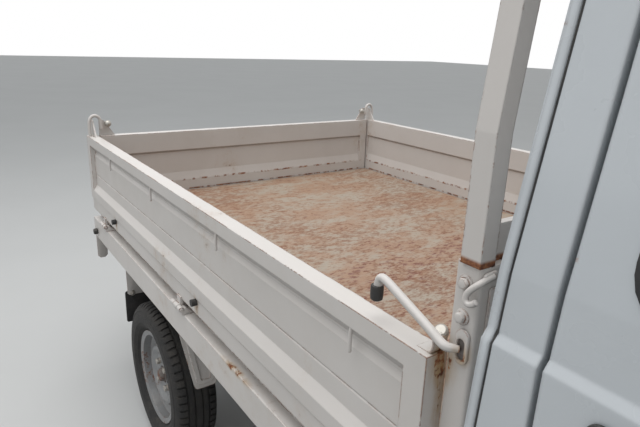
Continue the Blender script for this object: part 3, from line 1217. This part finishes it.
class TRUCK_OT_lamps(bpy.types.Operator):
    """Add the front air slot, the bumper's bars, the lamp rims and the tail lamps"""
    bl_idname = "truck.lamps"
    bl_label = "Lamps and front slot"

    def execute(self, context):
        front = faces_of("cab_shell", "head_lamps", "turn_lamps")
        rim = ((-0.006, -0.003), (-0.006, 0.003), (-0.003, 0.0055), (0.003, 0.0045), (0.006, -0.003))
        for side, sign in SIDES:
            # Lamps: kind, inner and outer edge, bottom, top
            for kind, low, high, bottom, top in (("head", 0.420, 0.640, 0.700, 0.850),
                                                 ("turn", 0.652, 0.712, 0.715, 0.835)):
                corners = [(sign * low, bottom), (sign * high, bottom), (sign * high, top), (sign * low, top)]
                outline = eased_outline(corners[::sign], 0.022)
                found = laid(front, [(2.0, y, z) for y, z in outline], (-1, 0, 0))
                ring = moulding(f"{kind}_lamp_rim_{side}", [p for p, _ in found], (0.96, sign * 0.28, 0.02),
                                rim, cyclic=True)
                settle(ring, "truck", "black_plastic")
        outline = eased_outline(((-0.330, 0.742), (0.330, 0.742), (0.330, 0.806), (-0.330, 0.806)), 0.020)
        found = laid(front, [(2.0, y, z) for y, z in outline], (-1, 0, 0))
        parts = [moulding("slot_frame", [p for p, _ in found], (1, 0, 0.04), rim, cyclic=True)]
        for z in (0.755, 0.768, 0.781, 0.794):
            vane_x = 1.6575 - (z - 0.742) * 0.044
            parts.append(moulding("slot_vane", ((vane_x, -0.322, z), (vane_x, 0.322, z)), (1, 0, 0.3),
                                  ((-0.0045, -0.004), (-0.0025, 0.0035), (0.0025, 0.0025), (0.0035, -0.004))))
        settle(joined("air_slot", parts, angle=30), "truck", "black_plastic")
        bars = []
        for z in (0.383, 0.400, 0.417):
            bars.append(moulding("bar", ((1.676, -0.302, z), (1.6785, 0, z), (1.676, 0.302, z)), (1, 0, 0),
                                 ((-0.004, -0.006), (-0.0025, 0.004), (0.0025, 0.004), (0.004, -0.006))))
        settle(joined("bumper_bars", bars, angle=30), "truck", "black_plastic")
        for side, sign in SIDES:
            housing = slab(f"tail_lamp_housing_{side}",
                           rounded(0.190, 0.100, 0.012, steps=5, centre=(0.495, TAIL_LAMP_Z)),
                           (TAIL_LAMP_X, 0, 0), (0, sign, 0), (0, 0, 1), 0.030 * sign, bevel=0.003)
            settle(housing, "truck", "black_plastic")
            if sign < 0:
                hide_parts("tail_lamps")
            # Lenses: name, middle, width, finish
            for name, middle, width, finish in (("stop", 0.5375, 0.085, "lamp_red"),
                                                ("turn", 0.4700, 0.045, "lamp_amber"),
                                                ("back", 0.4255, 0.038, "lamp_clear")):
                lens = slab(f"tail_lens_{name}_{side}", rounded(width, 0.084, 0.006, steps=4,
                                                                centre=(middle, TAIL_LAMP_Z)),
                            (TAIL_LAMP_X - 0.0002, 0, 0), (0, sign, 0), (0, 0, 1), -0.0055 * sign,
                            bevel=0.0018)
                settle(lens, "truck", finish)
            for y in (0.410, 0.580):
                settle(bolt(f"tail_lamp_screw_{side}_{int(y * 1000)}", (TAIL_LAMP_X, sign * y, 0.590),
                            (-1, 0, 0), size=0.005, washer=0.004, head=0.002), "truck", "fastener")
        return {"FINISHED"}


def cushion(name, outline, middle_y, half_width, pressure, cap, taper=None, voxel=0.008, frames=16,
            stiffness=12.0):
    """A padded form over a side outline, blown up by cloth pressure, with its swelling capped."""
    base = slab(name, outline, (0, middle_y - half_width, 0), (0, 0, 1), (1, 0, 0), 2 * half_width,
                bevel=0.022, segments=3)
    if taper:
        low, high, share = taper
        for v in base.data.vertices:
            if v.co.z > low:
                k = min(1.0, (v.co.z - low) / (high - low))
                v.co.y = middle_y + (v.co.y - middle_y) * (1 + (share - 1) * k * k * (3 - 2 * k))
    mod = base.modifiers.new("Even faces", "REMESH")
    mod.mode, mod.voxel_size = "VOXEL", voxel
    base = baked(base, 180)
    start = [v.co.copy() for v in base.data.vertices]
    mod = base.modifiers.new("Filling", "CLOTH")
    mod.settings.use_pressure = True
    mod.settings.uniform_pressure_force = pressure
    mod.settings.effector_weights.gravity = 0.0
    mod.settings.tension_stiffness = mod.settings.compression_stiffness = stiffness
    mod.point_cache.frame_start, mod.point_cache.frame_end = 1, frames
    for number in range(1, frames + 1):
        bpy.context.scene.frame_set(number)
    base = baked(base, 180)
    bpy.context.scene.frame_set(1)
    for v, first in zip(base.data.vertices, start):
        move = v.co - first
        if move.length > cap:
            v.co = first + move * (cap / move.length)
    return base


def sew(made, lines, depth, width):
    """Presses sewn lines into a cushion: each is a point, a direction across it and the side it shows on."""
    for v in made.data.vertices:
        for point, across, facing in lines:
            if v.normal.dot(Vector(facing)) < 0.2:
                continue
            away = abs((v.co - Vector(point)).dot(Vector(across)))
            if away < 3 * width:
                v.co -= Vector(facing) * depth * math.exp(-(away / width) ** 2)


class TRUCK_OT_seats(bpy.types.Operator):
    """Build the padded seats with their pans and belts in place of the plain ones"""
    bl_idname = "truck.seats"
    bl_label = "Seats"

    def execute(self, context):
        # Forms: side outline by X and Z, half width, and the top's taper (from, to, share)
        seat = (((0.738, 0.668), (0.738, 1.020), (0.820, 1.042), (0.846, 1.026), (0.834, 0.690)), 0.222, None)
        back = (((0.850, 0.570), (0.862, 0.655), (1.215, 0.582), (1.395, 0.562), (1.400, 0.516),
                 (1.215, 0.492), (0.870, 0.535)), 0.212, (1.180, 1.262, 0.50))
        made = {}
        for part, (outline, half_width, taper) in (("cushion", seat), ("back", back)):
            piece = cushion(f"seat_{part}_left", outline, SEAT_Y, half_width, pressure=3.5, cap=0.012,
                            taper=taper)
            if part == "cushion":
                lines = [((0.86, SEAT_Y + y, 0), (0, 1, 0), (0, 0, 1)) for y in (-0.145, -0.05, 0.05, 0.145)]
            else:
                lines = [((0, SEAT_Y + y, 0), (0, 1, 0), (0.97, 0, 0.2)) for y in (-0.14, -0.05, 0.05, 0.14)]
                lines.append(((0.6, 0, 1.215), (0, 0, 1), (0.97, 0, 0.2)))
            sew(piece, lines, depth=0.0075, width=0.006)
            mod = piece.modifiers.new("Smooth", "SUBSURF")
            mod.levels = mod.render_levels = 1
            made[part] = baked(piece, 180)
        for side, sign in SIDES:
            for part, source in made.items():
                piece = source
                if sign < 0:
                    piece = link(f"seat_{part}_right", source.data.copy())
                    piece.data.transform(Matrix.Translation((0, -2 * SEAT_Y, 0)))
                settle(piece, "truck", "seat_vinyl")
                if part == "cushion":
                    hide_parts(f"seat_{side}")
            pan = slab(f"seat_pan_{side}", rounded(0.400, 0.440, 0.03, steps=5,
                                                   centre=(0.840, sign * SEAT_Y)), (0, 0, 0.7225), (1, 0, 0),
                       (0, 1, 0), 0.020, bevel=0.004)
            settle(pan, "truck", "black_plastic")
            for step in (-1, 1):
                y = sign * SEAT_Y + step * 0.226
                hinge = slab(f"seat_hinge_{side}_{step + 1}",
                             ((0.560, 0.730), (0.690, 0.730), (0.690, 0.775), (0.640, 0.800), (0.600, 0.900),
                              (0.565, 0.900)), (0, y, 0), (1, 0, 0), (0, 0, 1), 0.006 * step, bevel=0.0015)
                settle(hinge, "truck", "chassis_black")
            belt = strip(f"seat_belt_{side}", ((0.430, sign * 0.640, 1.480), (0.440, sign * 0.634, 1.300),
                                               (0.452, sign * 0.630, 1.000), (0.458, sign * 0.628, 0.760)),
                         (1, 0, 0), width=0.046, thick=0.0014)
            settle(belt, "truck", "belt_webbing")
            anchor = slab(f"belt_anchor_{side}", rounded(0.056, 0.070, 0.010, steps=4, centre=(0.430, 1.490)),
                          (0, sign * 0.640, 0), (1, 0, 0), (0, 0, 1), -0.012 * sign, bevel=0.003)
            settle(anchor, "truck", "black_plastic")
            buckle = slab(f"belt_buckle_{side}", rounded(0.032, 0.080, 0.007, steps=4, centre=(0.650, 0.780)),
                          (0, sign * 0.080, 0), (1, 0, 0), (0, 0, 1), -0.016 * sign, bevel=0.004)
            settle(buckle, "truck", "black_plastic")
        return {"FINISHED"}


class TRUCK_OT_cabin(bpy.types.Operator):
    """Fit the dials, dashboard panels, levers, pedals, door cards, visors and inner mirror"""
    bl_idname = "truck.cabin"
    bl_label = "Cabin"

    def execute(self, context):
        def plate(name, outline, x, z, tilt, depth, bevel, finish, y=0.0):
            """A plate on a dashboard face that leans back by an angle, facing the seats."""
            lean = math.radians(tilt)
            made = slab(name, outline, (x, y, z), (0, -1, 0), (math.sin(lean), 0, math.cos(lean)), depth,
                        bevel=bevel)
            return settle(made, "truck", finish)

        driver = -SEAT_Y
        plate("dial_panel", rounded(0.270, 0.074, 0.020, steps=6), 1.4122, 1.1425, 22, 0.004, 0.0015,
              "black_plastic", driver)
        for number, y in enumerate((driver + 0.066, driver - 0.066)):
            spot = Vector((1.4095, y, 1.1440))
            dial = turned(f"dial_{number}", ((0.033, 0), (0.033, 0.006), (0.0305, 0.0065), (0.029, 0.0015),
                                             (0, 0.0015)), spot, DIAL_OUT, segments=40)
            settle(dial, "truck", "trim_grey")
            side, _, axis = basis(DIAL_OUT)
            ticks = []
            for k in range(13):
                turn = math.radians(-120 + 20 * k)
                out = side * math.sin(turn) + Vector(DIAL_UP) * math.cos(turn)
                cross = axis.cross(out)
                ticks.append(slab("tick", ((-0.0006, 0.022), (0.0006, 0.022), (0.0006, 0.027),
                                           (-0.0006, 0.027)), spot + axis * 0.0016, cross, out, 0.0005))
            needle = slab("needle", ((-0.0011, -0.006), (0.0011, -0.006), (0.0004, 0.025), (-0.0004, 0.025)),
                          spot + Vector(DIAL_OUT) * 0.0025, (0, 1, 0), DIAL_UP, 0.0008)
            settle(joined(f"dial_marks_{number}", ticks + [needle]), "truck", "pale_marks")
        for number, y in enumerate(VENTS_Y):
            middle = Vector((1.4010, y, 1.0890))
            parts = [slab("frame", rounded(0.094, 0.040, 0.008, steps=4), middle, (0, -1, 0), VENT_UP, 0.004,
                          bevel=0.0015)]
            for k in range(4):
                spot = middle + Vector(VENT_UP) * (-0.012 + 0.008 * k) + Vector(VENT_OUT) * 0.0042
                parts.append(slab("vane", rounded(0.082, 0.0042, 0.0015, steps=2), spot, (0, -1, 0), VENT_UP,
                                  0.002, bevel=0.0006))
            settle(joined(f"dash_vent_{number}", parts), "truck", "black_plastic")
        plate("radio_panel", rounded(0.180, 0.052, 0.006, steps=4), 1.3955, 1.0210, -15, 0.004, 0.0015,
              "black_plastic")
        for number, y in enumerate((-0.075, 0.075)):
            knob = turned(f"radio_knob_{number}", ((0.011, 0), (0.011, 0.010), (0.009, 0.013), (0, 0.013)),
                          (1.3915, y, 1.0200), (-0.966, 0, -0.258), segments=28)
            settle(knob, "truck", "trim_grey")
        plate("glove_lid", rounded(0.300, 0.058, 0.012, steps=5), 1.3965, 1.0180, -15, 0.003, 0.0012,
              "dash_plastic", SEAT_Y)
        plate("glove_catch", rounded(0.060, 0.014, 0.005, steps=4), 1.3935, 1.0360, -15, 0.006, 0.0020,
              "black_plastic", SEAT_Y)

        tilt = math.radians(50)
        column = Vector((-math.cos(tilt), 0, math.sin(tilt)))
        hub = Vector((1.255, driver, 1.120))
        pad = turned("horn_pad", ((0.044, -0.010), (0.044, 0.004), (0.038, 0.012), (0.020, 0.017),
                                  (0, 0.018)), hub, column, segments=40)
        settle(pad, "steering_wheel", "black_plastic")
        for number, way in enumerate((-1, 1)):
            foot = hub - column * 0.075
            stalk = rod(f"column_stalk_{number}", [foot, foot + Vector((0.004, way * 0.060, 0.004)),
                                                   foot + Vector((-0.004, way * 0.125, 0.012))], 0.0052,
                        taper=(0.8, 0.9, 1.5))
            settle(stalk, "truck", "black_plastic")
        boot = turned("gear_boot", ((0.052, 0), (0.050, 0.010), (0.043, 0.014), (0.045, 0.024),
                                    (0.035, 0.029), (0.037, 0.038), (0.026, 0.044), (0.027, 0.052),
                                    (0.016, 0.060), (0.009, 0.066), (0, 0.066)), (1.080, 0.0, 0.7225),
                      (0.05, 0, 1), segments=36)
        settle(boot, "truck", "rubber")
        lever = rod("gear_lever", ((1.082, 0, 0.780), (1.088, 0, 0.860), (1.098, 0, 0.930),
                                   (1.094, 0, 0.985)), 0.0065)
        settle(lever, "truck", "bright_metal")
        knob = turned("gear_knob", ((0.008, -0.018), (0.015, -0.012), (0.022, 0.002), (0.023, 0.012),
                                    (0.018, 0.022), (0.009, 0.027), (0, 0.028)), (1.094, 0, 0.998), (0, 0, 1),
                      segments=32)
        settle(knob, "truck", "black_plastic")
        brake = rod("hand_brake", ((0.860, 0.035, 0.735), (0.960, 0.035, 0.752), (1.010, 0.035, 0.770)),
                    0.011, sides=5, taper=(0.7, 0.8, 1.2))
        settle(brake, "truck", "black_plastic")
        # Pedals: place across, width, height
        for number, (y, width, height) in enumerate(((-0.230, 0.058, 0.660), (-0.320, 0.074, 0.660),
                                                     (-0.420, 0.052, 0.640))):
            pad = slab(f"pedal_{number}", rounded(width, 0.058, 0.008, steps=4), (1.448, y, height),
                       (0, -1, 0), (0.45, 0, 0.89), 0.010, bevel=0.003)
            settle(pad, "truck", "rubber")
            arm = rod(f"pedal_arm_{number}", ((1.455, y, height), (1.500, y, height + 0.06),
                                              (1.525, y, 0.830), (1.530, y, 0.925)), 0.006, sides=3)
            settle(arm, "truck", "chassis_black")
        for side, sign in SIDES:
            body = f"door_{side}"
            outline = eased_outline(((0.430, 0.690), (1.085, 0.690), (1.150, 0.640), (1.150, 0.480),
                                     (1.355, 0.480), (1.355, 1.130), (0.430, 1.130)), 0.030)
            card = slab(f"door_card_{side}", outline, (0, sign * 0.6925, 0), (1, 0, 0), (0, 0, 1),
                        0.0035 * sign, bevel=0.001)
            settle(card, body, "trim_grey")
            rest = slab(f"arm_rest_{side}", eased_outline(((0.560, 0.930), (0.860, 0.930), (0.880, 0.975),
                                                           (0.560, 0.985)), 0.012),
                        (0, sign * CARD_FACE_Y, 0), (1, 0, 0), (0, 0, 1), 0.040 * sign, bevel=0.008)
            settle(rest, body, "black_plastic")
            crank = joined(f"window_crank_{side}",
                           [turned("boss", ((0.020, 0), (0.020, 0.006), (0.013, 0.014), (0, 0.015)),
                                   (0.980, sign * CARD_FACE_Y, 0.900), (0, -sign, 0), segments=28),
                            rod("arm", ((0.980, sign * 0.680, 0.900), (0.945, sign * 0.672, 0.870),
                                        (0.905, sign * 0.668, 0.842)), 0.006, sides=3),
                            turned("grip", ((0.009, 0), (0.011, 0.012), (0.009, 0.024), (0, 0.026)),
                                   (0.905, sign * 0.672, 0.842), (0, -sign, 0), segments=24)])
            settle(crank, body, "black_plastic")
            opener = slab(f"inner_handle_{side}", rounded(0.090, 0.030, 0.010, steps=5),
                          (0.990, sign * CARD_FACE_Y, 1.040), (1, 0, 0), (0, 0, 1), 0.014 * sign, bevel=0.004)
            settle(opener, body, "black_plastic")
            visor = slab(f"sun_visor_{side}", rounded(0.400, 0.130, 0.016, steps=5),
                         (1.345, sign * 0.300, 1.620), (0, 1, 0), SCREEN_UP, -0.014, bevel=0.005)
            settle(visor, "truck", "trim_grey")
        glass = slab("inner_mirror", rounded(0.200, 0.055, 0.018, steps=6), (1.305, 0, 1.600), (0, -1, 0),
                     (-0.12, 0, 1), 0.012, bevel=0.004)
        settle(glass, "truck", "black_plastic")
        face = slab("inner_mirror_face", rounded(0.188, 0.045, 0.014, steps=6), (1.2925, 0, 1.6015),
                    (0, -1, 0), (-0.12, 0, 1), 0.0012)
        settle(face, "truck", "mirror_face")
        stem = rod("inner_mirror_stem", ((1.308, 0, 1.605), (1.330, 0, 1.650), (1.335, 0, 1.700),
                                         (1.325, 0, 1.735)), 0.0055, sides=3)
        settle(stem, "truck", "black_plastic")
        return {"FINISHED"}


class TRUCK_OT_running_gear(bpy.types.Operator):
    """Add the spring clamps, dampers, shackle bolts, brake flanges, tail pipe and filler cap"""
    bl_idname = "truck.running_gear"
    bl_label = "Running gear"

    def execute(self, context):
        axle_x, axle_z = REAR_AXLE
        for side, sign in SIDES:
            y = sign * SPRING_Y
            for step in (-1, 1):
                x = axle_x + step * 0.042
                clamp = rod(f"spring_clamp_{side}_{step + 1}", ((x, y - 0.034, 0.216), (x, y - 0.034, 0.270),
                                                                (x, y - 0.034, 0.322), (x, y - 0.028, 0.3305),
                                                                (x, y, 0.3305), (x, y + 0.028, 0.3305),
                                                                (x, y + 0.034, 0.322), (x, y + 0.034, 0.270),
                                                                (x, y + 0.034, 0.216)), 0.0055, sides=3)
                settle(clamp, "truck", "chassis_black")
            saddle = slab(f"spring_saddle_{side}", rounded(0.120, 0.096, 0.012, steps=4, centre=(axle_x, y)),
                          (0, 0, 0.2225), (1, 0, 0), (0, 1, 0), 0.009, bevel=0.002)
            settle(saddle, "truck", "chassis_black")
            low = Vector((axle_x + 0.070, sign * 0.300, 0.285))
            high = Vector((axle_x + 0.255, sign * 0.315, 0.530))
            run = high - low
            damper = joined(f"damper_{side}",
                            [turned("tube", ((0, 0), (0.012, 0), (0.019, 0.012), (0.019, 0.160),
                                             (0.016, 0.168), (0.007, 0.170), (0.007, 0.200), (0, 0.200)), low,
                                    run, segments=24),
                             turned("cover", ((0.0225, 0.120), (0.0225, run.length - 0.012),
                                              (0.012, run.length), (0, run.length)), low, run, segments=24)])
            settle(damper, "truck", "chassis_black")
            for x in (axle_x - 0.500, axle_x + 0.500):
                settle(bolt(f"spring_bolt_{side}_{int(abs(x) * 1000)}", (x, sign * 0.443, 0.384),
                            (0, sign, 0), size=0.018, washer=0.014, head=0.010), "truck", "fastener")
        for place_name, x in (("front", FRONT_AXLE[0]), ("rear", axle_x)):
            for side, sign in SIDES:
                flange = turned(f"drum_flange_{place_name}_{side}",
                                ((0.0935, -0.008), (0.1165, -0.008), (0.1175, -0.006), (0.1165, -0.004),
                                 (0.0935, -0.004)), (x, sign * HALF_TRACK, axle_z), (0, sign, 0), segments=64,
                                closed=True)
                settle(flange, f"wheel_{place_name}_{side}", "chassis_black")
        pipe = joined("tail_pipe",
                      [rod("run", ((-0.480, PIPE_Y, 0.440), (-0.640, PIPE_Y, 0.440), (-0.900, PIPE_Y, 0.450),
                                   (-1.180, PIPE_Y, 0.450), (-1.420, PIPE_Y, 0.440), (-1.600, PIPE_Y, 0.428)),
                           0.019, order=4, sides=5),
                       turned("tip", ((0.0175, 0), (0.0215, 0), (0.0225, 0.003), (0.0225, 0.050),
                                      (0.0205, 0.0515), (0.0185, 0.050), (0.0175, 0.010)),
                              (-1.588, PIPE_Y, 0.429), (-1, 0, -0.06), segments=36, closed=True),
                       slab("hanger", ((0.380, 0.530), (0.396, 0.530), (0.486, 0.470), (0.492, 0.440),
                                       (0.486, 0.418), (0.454, 0.418), (0.450, 0.452), (0.380, 0.508)),
                            (-1.452, 0, 0), (0, -1, 0), (0, 0, 1), 0.004, bevel=0.001)], angle=40)
        settle(pipe, "truck", "exhaust_steel")
        cap = turned("filler_cap", ((0.020, -0.004), (0.020, 0.020), (0.030, 0.022), (0.031, 0.034),
                                    (0.027, 0.038), (0, 0.040)), (-0.120, 0.610, 0.520), (0, 1, 0.15),
                     segments=40)
        settle(cap, "truck", "black_plastic")
        straps = []
        for x in (-0.410, -0.130):
            straps.append(strip("strap", ((x, 0.400, 0.5565), (x, 0.590, 0.5565), (x, 0.606, 0.545),
                                          (x, 0.6115, 0.520), (x, 0.6115, 0.420), (x, 0.606, 0.395),
                                          (x, 0.590, 0.3835), (x, 0.400, 0.3835)), (1, 0, 0), width=0.024,
                                thick=-0.0016))
        settle(joined("tank_straps", straps, angle=40), "truck", "chassis_black")
        return {"FINISHED"}


class TRUCK_OT_stage(bpy.types.Operator):
    """Set up the floor, the light and the camera"""
    bl_idname = "truck.stage"
    bl_label = "Stage"

    def execute(self, context):
        stage = context.scene.truck_stage
        floor = solid("studio_floor", ((-40, -40, 0), (40, -40, 0), (40, 40, 0), (-40, 40, 0)),
                      [(0, 1, 2, 3)])
        made, tree, where = start_material("studio_floor")
        tone = ramp(tree, noise(tree, where, 0.8, 5.0), 0.3, 0.7)
        base = blend(tree, tone, rgb([c * 0.97 for c in stage.floor_colour]), rgb(stage.floor_colour))
        close_material(tree, {"Base Color": base, "Roughness": 0.85})
        floor.data.materials.append(made)

        world = bpy.data.worlds.new("studio")
        context.scene.world = world
        world.use_nodes = True
        tree = world.node_tree
        tree.nodes.clear()
        rays = put(tree, "ShaderNodeLightPath").outputs
        seen = maths(tree, "MAXIMUM", rays["Is Camera Ray"],
                     maths(tree, "MAXIMUM", rays["Is Glossy Ray"], rays["Is Transmission Ray"]))
        lit = put(tree, "ShaderNodeBackground", {"Color": (0.93, 0.97, 1.0, 1), "Strength": stage.sky_level})
        shown = put(tree, "ShaderNodeBackground", {"Color": (1, 1, 1, 1), "Strength": 1.0})
        both = put(tree, "ShaderNodeMixShader", {0: seen, 1: lit.outputs[0], 2: shown.outputs[0]})
        put(tree, "ShaderNodeOutputWorld", {"Surface": both.outputs[0]})

        # Lights: name, place, target, size, power
        for name, spot, target, size, power in (
                ("key", (-1.0, -1.3, 5.2), (-0.5, 0, 0.8), 4.5, stage.key_power),
                ("fill", (2.5, -5.0, 3.0), (-0.3, -0.7, 0.8), 4.0, stage.key_power * 0.04)):
            data = bpy.data.lights.new(name, "AREA")
            data.size, data.energy = size, power
            lamp = link(name, data)
            lamp.location = spot
            lamp.rotation_euler = (Vector(target) - Vector(spot)).to_track_quat("-Z", "Y").to_euler()

        data = bpy.data.cameras.new("camera")
        data.sensor_width, data.lens = 36.0, stage.lens
        data.clip_start, data.clip_end = 0.02, 100.0
        camera = link("camera", data)
        yaw, pitch, roll = (math.radians(a) for a in CAMERA_ANGLES)
        ahead = Vector((math.cos(yaw) * math.cos(pitch), math.sin(yaw) * math.cos(pitch), math.sin(pitch)))
        level = Vector((math.sin(yaw), -math.cos(yaw), 0))
        over = level.cross(ahead)
        right = level * math.cos(roll) + over * math.sin(roll)
        up = over * math.cos(roll) - level * math.sin(roll)
        turn = Matrix((right, up, -ahead)).transposed()
        camera.matrix_world = Matrix.Translation(CAMERA_SPOT) @ turn.to_4x4()
        context.scene.camera = camera
        context.scene.view_settings.view_transform = "Standard"
        return {"FINISHED"}


class TRUCK_PT_dressing(bpy.types.Panel):
    """Lists the dressing steps in the sidebar"""
    bl_idname = "TRUCK_PT_dressing"
    bl_label = "Truck dressing"
    bl_space_type = "VIEW_3D"
    bl_region_type = "UI"
    bl_category = "Truck"

    def draw(self, context):
        for group in ("truck_paint", "truck_fittings", "truck_wheels", "truck_stage"):
            settings = getattr(context.scene, group)
            box = self.layout.box()
            for key in settings.__annotations__:
                box.prop(settings, key)
        for step in STEPS:
            self.layout.operator(step.bl_idname)


STEPS = (TRUCK_OT_finishes, TRUCK_OT_front_board, TRUCK_OT_sills, TRUCK_OT_rope_hooks, TRUCK_OT_latches,
         TRUCK_OT_post_fittings, TRUCK_OT_corner_loops, TRUCK_OT_tyres, TRUCK_OT_cab_trim, TRUCK_OT_lamps,
         TRUCK_OT_seats, TRUCK_OT_cabin, TRUCK_OT_running_gear, TRUCK_OT_stage)
SETTINGS = (("truck_paint", TruckPaint), ("truck_fittings", TruckFittings), ("truck_wheels", TruckWheels),
            ("truck_stage", TruckStage))


def register():
    """Adds the settings, the steps and the panel to Blender."""
    for name, group in SETTINGS:
        bpy.utils.register_class(group)
        setattr(bpy.types.Scene, name, bpy.props.PointerProperty(type=group))
    for step in STEPS:
        bpy.utils.register_class(step)
    bpy.utils.register_class(TRUCK_PT_dressing)


def unregister():
    """Takes them out again."""
    bpy.utils.unregister_class(TRUCK_PT_dressing)
    for step in reversed(STEPS):
        bpy.utils.unregister_class(step)
    for name, group in reversed(SETTINGS):
        delattr(bpy.types.Scene, name)
        bpy.utils.unregister_class(group)


def main():
    """Runs every step in order."""
    register()
    for step in STEPS:
        category, name = step.bl_idname.split(".")
        getattr(getattr(bpy.ops, category), name)()


if __name__ == "__main__":
    main()
